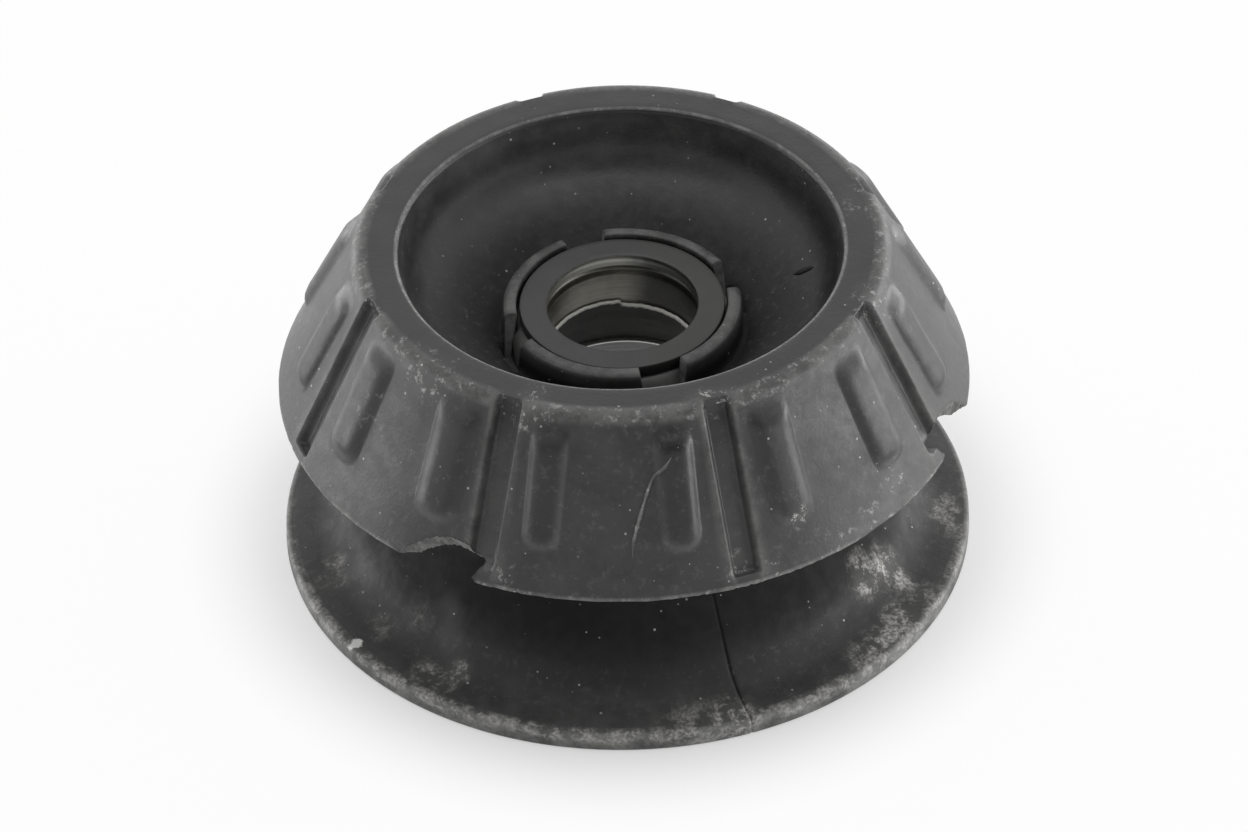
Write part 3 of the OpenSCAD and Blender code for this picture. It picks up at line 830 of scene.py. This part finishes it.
def rubberMaterial():
    f = rubberFinish
    material, graph = newMaterial("mouldedRubber")
    where = graph.node("ShaderNodeTexCoord").out("Object")

    def attribute(name):
        return graph.node("ShaderNodeAttribute", {"attribute_name": name}).out("Fac")

    def grain(name):
        return graph.noise(where, *f[name])

    cloud, mottle, fine = grain("cloud"), grain("mottle"), grain("fine")
    tone = graph.smooth(cloud * 0.6 + mottle * 0.25 + fine * 0.15, 0.38, 0.62)
    colour = graph.mix(tone, f["dark"], f["pale"])

    # painted shade: near black where the 'seam' attribute marks the parting groove, the gaps, the lips' feet,
    # hollows, beside the gaps and the nick
    colour = graph.mix(attribute("seam") * f["paintedShadeAmount"], colour, f["seam"])
    # the pale film, which also carries painted light: the front, the rim's back, the bowl's back wall, the lips'
    # walls, the notch's streak and the rib flanks
    patches = 0.3 + 0.8 * mottle + 0.6 * graph.smooth(grain("filmAndLightPatches"), 0.35, 0.65)
    colour = graph.mix(attribute("filmAndPaintedLight") * patches * f["filmAndLightAmount"], colour, f["filmAndPaintedLight"])

    # edges are rubbed grey, more in some places than in others
    patchy = graph.smooth(grain("rubPatches"), 0.38, 0.62)
    rub = attribute("rub") * (0.3 + 0.7 * patchy) * (0.6 + 0.8 * fine)
    colour = graph.mix(rub * f["rubAmount"], colour, f["rubbed"])
    torn = graph.least(attribute("torn") * (0.5 + graph.smooth(mottle, 0.4, 0.65)), 1)
    colour = graph.mix(torn, colour, f["torn"])

    # scuffs in fine strands, dust in clumps, and single white specks
    strands = graph.smooth(grain("strands"), 0.54, 0.63)
    scuff = attribute("scuff") * (0.05 + 0.9 * strands)
    colour = graph.mix(scuff, colour, f["scuffed"])
    clumps = graph.smooth(grain("clumps"), 0.44, 0.57) * (0.35 + 1.1 * graph.smooth(fine, 0.38, 0.62))
    dust = graph.least(attribute("dust") * (0.12 + 0.8 * clumps), 1)
    colour = graph.mix(dust, colour, f["dust"])
    cells = graph.node("ShaderNodeTexVoronoi", {"feature": "F1"}, {"Vector": where, "Scale": f["speckScale"]})
    chance = graph.node("ShaderNodeSeparateColor", None, {0: cells.out("Color")})
    radius = f["speckSize"] + f["speckSpread"] * chance.out("Green") * chance.out("Green")
    speck = graph.smooth(cells, radius, radius * 0.5) * graph.smooth(chance, *f["speckRare"])
    colour = graph.mix(speck * (0.25 + 0.65 * chance.out("Blue")), colour, f["speck"])
    offCentre = graph.vector("DISTANCE", where, tuple(v * mm for v in wear["flake"]), out="Value")
    flakeSize = wear["flakeSize"] * mm
    flake = graph.smooth(offCentre + (mottle - 0.5) * 2 * flakeSize, flakeSize, 0.7 * flakeSize)
    colour = graph.mix(flake, colour, f["flake"])

    low, high = f["rough"]
    rough = low + graph.smooth(mottle * 0.5 + cloud * 0.5, 0.35, 0.65) * (high - low)
    rough = rough + (rub + scuff + dust + torn + attribute("seam")) * f["wornRough"]
    rough = graph.least(rough + attribute("matte") * f["matteRough"], f["roughest"])
    height = fine * 0.6 + mottle + (scuff + dust) * 0.8 + torn * strands
    bump = graph.node("ShaderNodeBump", None,
                      {"Strength": f["bump"], "Distance": f["bumpDepth"], "Height": height})
    finishMaterial(graph, graph.node("ShaderNodeBsdfPrincipled", None,
                                     {"Base Color": colour, "Roughness": rough, "Normal": bump}))
    return material


steelFinish = dict(grain=(160, 4, 0.6), streaks=(1, 4, 0.7), around=30, bump=0.15, bumpDepth=0.0001,
                   bareColour=(0.58, 0.575, 0.53, 1), bareFade=0.1, bareSmooth=0.12,
                   shadedSideColour=(0.03, 0.03, 0.028, 1), shadedSideAmount=0.85, shadedSideFrom=(-2, 7), shadedSideRagged=10,
                   wornSmooth=0.2)


def steelMaterial(name, dark, pale, metallic, rough, lines, bare=None, shadedSide=None, worn=None, shine=0):
    # bare: radius inside which the coat is worn to the metal; shadedSide: direction of a side darkened with
    # painted shade;
    # worn: colour of the edges; shine: how metallic the edges are
    s = steelFinish
    material, graph = newMaterial(name)
    where = graph.node("ShaderNodeTexCoord").out("Object")
    cloud = graph.noise(where, *s["grain"])
    split = graph.node("ShaderNodeSeparateXYZ", None, {0: where})
    x, y, z = (split.out(axis) for axis in "XYZ")
    streak = graph.noise(graph.joined(x * s["around"], y * s["around"], z * lines), *s["streaks"])
    colour = graph.mix(graph.smooth(cloud * 0.5 + streak * 0.5, 0.35, 0.65), dark, pale)
    low, high = rough
    rough = low + graph.smooth(streak, 0.3, 0.7) * (high - low)
    if bare:
        reach = graph.vector("LENGTH", graph.joined(x, y, 0), out="Value")
        shown = graph.smooth(reach, bare * mm, (bare - s["bareFade"]) * mm)
        colour = graph.mix(shown, colour, s["bareColour"])
        metallic = graph.most(shown, metallic)
        rough = rough - shown * s["bareSmooth"]
    # painted shade: darker towards one side, standing for the shade and dark reflection on that side
    if shadedSide:
        side = graph.vector("DOT_PRODUCT", where, shadedSide, out="Value") + (cloud - 0.5) * s["shadedSideRagged"] * mm
        first, last = s["shadedSideFrom"]
        colour = graph.mix(graph.smooth(side, first * mm, last * mm) * s["shadedSideAmount"], colour, s["shadedSideColour"])
    if worn:
        edge = graph.node("ShaderNodeAttribute", {"attribute_name": "edge"}).out("Fac")
        edge = graph.least(edge * (0.7 + 0.6 * cloud), 1)
        colour = graph.mix(edge, colour, worn)
        metallic = metallic + (shine - metallic) * edge
        rough = rough - edge * s["wornSmooth"] * shine
    bump = graph.node("ShaderNodeBump", None,
                      {"Strength": s["bump"], "Distance": s["bumpDepth"], "Height": streak})
    finishMaterial(graph, graph.node("ShaderNodeBsdfPrincipled", None, {
        "Base Color": colour, "Roughness": rough, "Metallic": metallic, "Normal": bump}))
    return material


def ringPoints(outline, columns):
    azimuth = np.arange(columns) * 2 * math.pi / columns
    outline = np.array(outline, float)
    radius, height = outline[:, :1], outline[:, 1:]
    points = np.stack([radius * np.sin(azimuth), -radius * np.cos(azimuth), height + 0 * azimuth], -1)
    return points, np.degrees(azimuth)


# Pressed core

core = dict(
    cupRadius=20, sheet=2.2, top=49.3, hole=15.4, coneAngle=45, cornerHeight=28.5, plateRadius=60,
    plateBottom=0.6, plateRound=0.3, bend=1.2, bendSteps=8, rowSpacing=4, columns=192,
    # a low ridge at the inner bend: inwards, up from the corner, and rounding; it is bare up to browTop
    brow=((0, 0, 0.2), (0.8, 0.15, 0.1), (0.8, 0.45, 0.1), (0, 0.75, 0.15)), browTop=2, browLeast=0.1,
    finish=dict(dark=(0.085, 0.085, 0.083, 1), pale=(0.16, 0.16, 0.154, 1), metallic=0, rough=(0.35, 0.55),
                lines=400, worn=(0.86, 0.85, 0.82, 1), shine=1))


def coreOutline():
    c = core
    slope = math.tan(math.radians(c["coneAngle"]))
    rise = c["sheet"] / math.cos(math.radians(c["coneAngle"]))
    inner = c["cupRadius"] - c["sheet"]
    plateTop = c["plateBottom"] + c["sheet"]
    outerBend = c["bend"] + c["sheet"]

    def underRadius(z):
        return inner + (c["cornerHeight"] - z) / slope

    corners = [  # radius, height and rounding
        (c["hole"], c["top"], 0), (c["cupRadius"], c["top"], outerBend),
        (c["cupRadius"], c["cornerHeight"] - c["sheet"] * slope + rise, c["bend"]),
        (underRadius(plateTop - rise), plateTop, c["bend"]),
        (c["plateRadius"], plateTop, c["plateRound"]), (c["plateRadius"], c["plateBottom"], c["plateRound"]),
        (underRadius(c["plateBottom"]), c["plateBottom"], outerBend)]
    corners += [(inner - inwards, c["cornerHeight"] + up, rounding) for inwards, up, rounding in c["brow"]]
    corners += [(inner, c["top"] - c["sheet"], c["bend"]), (c["hole"], c["top"] - c["sheet"], 0)]
    points = []
    for number, (r, z, rounding) in enumerate(corners):
        before, after = corners[number - 1], corners[(number + 1) % len(corners)]
        points += arc(before[:2], (r, z), after[:2], rounding, c["bendSteps"]) if rounding else [(r, z)]
    dense = []
    for first, last in zip(points, points[1:] + points[:1]):
        dense.append(first)
        dense += between(first, last, int(math.dist(first, last) // c["rowSpacing"]))
    return dense


def makeCore():
    c = core
    points, _ = ringPoints(coreOutline(), c["columns"])
    inwards = c["cupRadius"] - c["sheet"] - np.linalg.norm(points[..., :2], axis=-1)
    brow = (inwards > c["browLeast"]) & (points[..., 2] < c["cornerHeight"] + c["browTop"])
    paint = steelMaterial("corePrimer", **c["finish"])
    addPiece("pressed_core", gridMesh("pressed_core", points, {"edge": brow}), paint, "core_shell")


# Bore sleeve

sleeve = dict(
    bore=13.6, outer=15.4, bottom=39.7, top=49.3, mouth=14.6, stepHeight=47.5, columns=240, chamfer=0.3,
    mouthProfile=((0.475, 0), (0.05, 0), (0, 0.06)),  # outwards from the mouth, and down from the top
    stepProfile=((0.16, 0.2), (0.02, 0), (0, -0.15)), chamferFoot=0.75,  # outwards from the bore, and up
    # the turned-in lower lip: inwards from the bore, and up from the bottom
    lipProfile=((0, 0.85), (0.08, 0.72), (0.26, 0.6), (0.5, 0.4), (0.5, 0.2), (0.2, 0)),
    lipStart=1, lipLeast=0.05,
    # the lower edge steps up at one azimuth and comes down again, and is a little jagged
    seam=160.3, seamStep=0.9, seamWidth=1.4, seamEnd=(60, 200), jag=0.22, jagReach=4,
    finish=dict(dark=(0.25, 0.245, 0.21, 1), pale=(0.5, 0.49, 0.44, 1), metallic=1, rough=(0.28, 0.46),
                lines=2600, shadedSide=(0.94, -0.34, 0), worn=(0.75, 0.74, 0.69, 1)))


def makeSleeve():
    v = sleeve
    outline = [(v["outer"], v["bottom"] + v["chamfer"]), (v["outer"], v["top"])]
    outline += [(v["mouth"] + outwards, v["top"] - down) for outwards, down in v["mouthProfile"]]
    chamferFoot = (v["bore"] + v["stepProfile"][0][0], v["stepHeight"] + v["chamferFoot"])
    outline += between(outline[-1], chamferFoot, 3) + [chamferFoot]
    outline += [(v["bore"] + outwards, v["stepHeight"] + up) for outwards, up in v["stepProfile"]]
    outline += between(outline[-1], (v["bore"], v["bottom"] + v["lipStart"]), 8)
    outline += [(v["bore"] - inwards, v["bottom"] + up) for inwards, up in v["lipProfile"]]
    outline += [(v["outer"] - v["chamfer"], v["bottom"])]
    points, azimuth = ringPoints(outline, v["columns"])
    past = (azimuth - v["seam"]) % 360
    turn = np.radians(azimuth)
    raised = v["seamStep"] * (1 - ease(past, *v["seamEnd"])) * ease(past, 0, v["seamWidth"])
    raised = raised + v["jag"] * (0.5 + 0.25 * np.sin(turn * 23) + 0.25 * np.sin(turn * 57 + 1))
    points[..., 2] += raised * np.clip((v["bottom"] + v["jagReach"] - points[..., 2]) / v["jagReach"], 0, 1)
    lip = np.array([r < v["bore"] - v["lipLeast"] for r, z in outline])[:, None]
    bare = steelMaterial("turnedSteel", **v["finish"])
    addPiece("turned_sleeve", gridMesh("turned_sleeve", points, {"edge": lip}), bare, "bore_sleeve")


# Seat washer

washer = dict(bore=13.6, outer=18.4, bottom=49.3, top=51.6, bevel=0.22, columns=192,
              finish=dict(dark=(0.024, 0.024, 0.0245, 1), pale=(0.04, 0.04, 0.0405, 1), metallic=0,
                          rough=(0.42, 0.6), lines=300, bare=13.68, shadedSide=(0.94, -0.34, 0)))


def makeWasher():
    w = washer
    b, top = w["bevel"], w["top"]
    outline = [(w["outer"], w["bottom"] + b), (w["outer"], top - b), (w["outer"] - 0.3 * b, top - 0.3 * b),
               (w["outer"] - b, top)]
    outline += between(outline[-1], (w["bore"] + b, top), 5)
    outline += [(w["bore"] + b, top), (w["bore"] + 0.3 * b, top - 0.3 * b), (w["bore"], top - b),
                (w["bore"], w["bottom"]), (w["outer"] - b, w["bottom"])]
    points, _ = ringPoints(outline, w["columns"])
    coat = steelMaterial("washerCoat", **w["finish"])
    addPiece("flat_washer", gridMesh("flat_washer", points), coat, "seat_washer")


makeCore()
makeSleeve()
makeWasher()
print("steel pieces made")

rubber = rubberMaterial()
baseMesh = makeMoulding()
mouldingMesh = cutNotches(throughTree("rubber_moulding", baseMesh, *pressPanels(rubber)))
addFold(mouldingMesh, "crease", ("scuff", "rub"), False)
# the nick's ridge takes the painted shade of the 'seam' attribute
addFold(mouldingMesh, "nick", ("seam",), True)
addPiece("rubber_moulding", mouldingMesh, rubber, "rubber_body")
print("moulding pressed", len(mouldingMesh.polygons), "faces")


# Floor, light and surroundings

stage = dict(
    floorSize=12, floorColour=(0.86, 0.86, 0.86, 1), floorWhite=0.93,
    underWhite=0.4, underReach=(0.055, 0.085),  # under the object the floor stays in its shade
    # the room's level, and how much dimmer it is high up behind the camera
    surround=0.76, dimSide=0.95, dimFront=(0.2, 0.6), dimHeight=(0.28, 0.42),
    # softboxes: turn from the camera, distance, height, width, tallness and power
    lamps=((-117, 0.8, 0.07, 1.25, 0.14, 4.7), (104, 0.8, 0.1, 1.6, 0.2, 7.6),
           (180, 0.12, 1.2, 0.9, 0.9, 3.0), (180, 1.3, 0.13, 2.2, 0.26, 6)),
    lampAim=(0, 0, 0.03), white=(1, 1, 1, 1))


def makeFloor():
    mesh = bpy.data.meshes.new("floor")
    half = stage["floorSize"] / 2
    mesh.from_pydata([(-half, -half, 0), (half, -half, 0), (half, half, 0), (-half, half, 0)], [], [(0, 1, 2, 3)])
    floor = bpy.data.objects.new("floor", mesh)
    scene.collection.objects.link(floor)
    material, graph = newMaterial("paleFloor")
    rays = graph.node("ShaderNodeLightPath")
    seen = graph.most(rays.out("Is Camera Ray"), rays.out("Is Glossy Ray"))
    seen = graph.most(seen, rays.out("Is Transmission Ray"))
    middle = graph.vector("LENGTH", graph.node("ShaderNodeTexCoord").out("Object"), out="Value")
    seen = seen * (stage["underWhite"] + (1 - stage["underWhite"]) * graph.smooth(middle, *stage["underReach"]))
    plain = graph.node("ShaderNodeBsdfDiffuse", None, {"Color": stage["floorColour"]})
    white = graph.node("ShaderNodeEmission", None, {"Color": stage["white"], "Strength": 1})
    finishMaterial(graph, graph.node("ShaderNodeMixShader", None,
                                     {0: seen * stage["floorWhite"], 1: plain, 2: white}))
    mesh.materials.append(material)


def makeRoom():
    world = bpy.data.worlds.new("surround")
    scene.world = world
    world.use_nodes = True
    world.node_tree.nodes.clear()
    graph = Graph(world.node_tree)
    rays = graph.node("ShaderNodeLightPath")
    shown = graph.most(rays.out("Is Glossy Ray"), rays.out("Is Transmission Ray"))
    around = math.radians(view["azimuth"])
    towards = graph.node("ShaderNodeTexCoord").out("Generated")
    front = graph.vector("DOT_PRODUCT", towards, (math.sin(around), -math.cos(around), 0), out="Value")
    height = graph.node("ShaderNodeSeparateXYZ", None, {0: towards}).out("Z")
    dim = stage["dimSide"] * graph.smooth(front, *stage["dimFront"]) * graph.smooth(height, *stage["dimHeight"])
    level = (1 - dim) * (stage["surround"] + shown * (1 - stage["surround"]))
    level = graph.most(level, rays.out("Is Camera Ray"))
    background = graph.node("ShaderNodeBackground", None, {"Color": stage["white"], "Strength": level})
    graph.node("ShaderNodeOutputWorld", None, {"Surface": background})


def makeLamps():
    for number, (turn, distance, tall, wide, high, power) in enumerate(stage["lamps"]):
        data = bpy.data.lights.new(f"softbox{number}", "AREA")
        data.shape = "RECTANGLE"
        data.size, data.size_y = wide, high
        data.energy = power
        lamp = bpy.data.objects.new(f"softbox{number}", data)
        scene.collection.objects.link(lamp)
        around = math.radians(view["azimuth"] + turn)
        lamp.location = (distance * math.sin(around), -distance * math.cos(around), tall)
        lamp.rotation_euler = (Vector(stage["lampAim"]) - lamp.location).to_track_quat("-Z", "Y").to_euler()


makeFloor()
makeRoom()
makeLamps()
scene.view_settings.view_transform = "Standard"
print("stage lit")
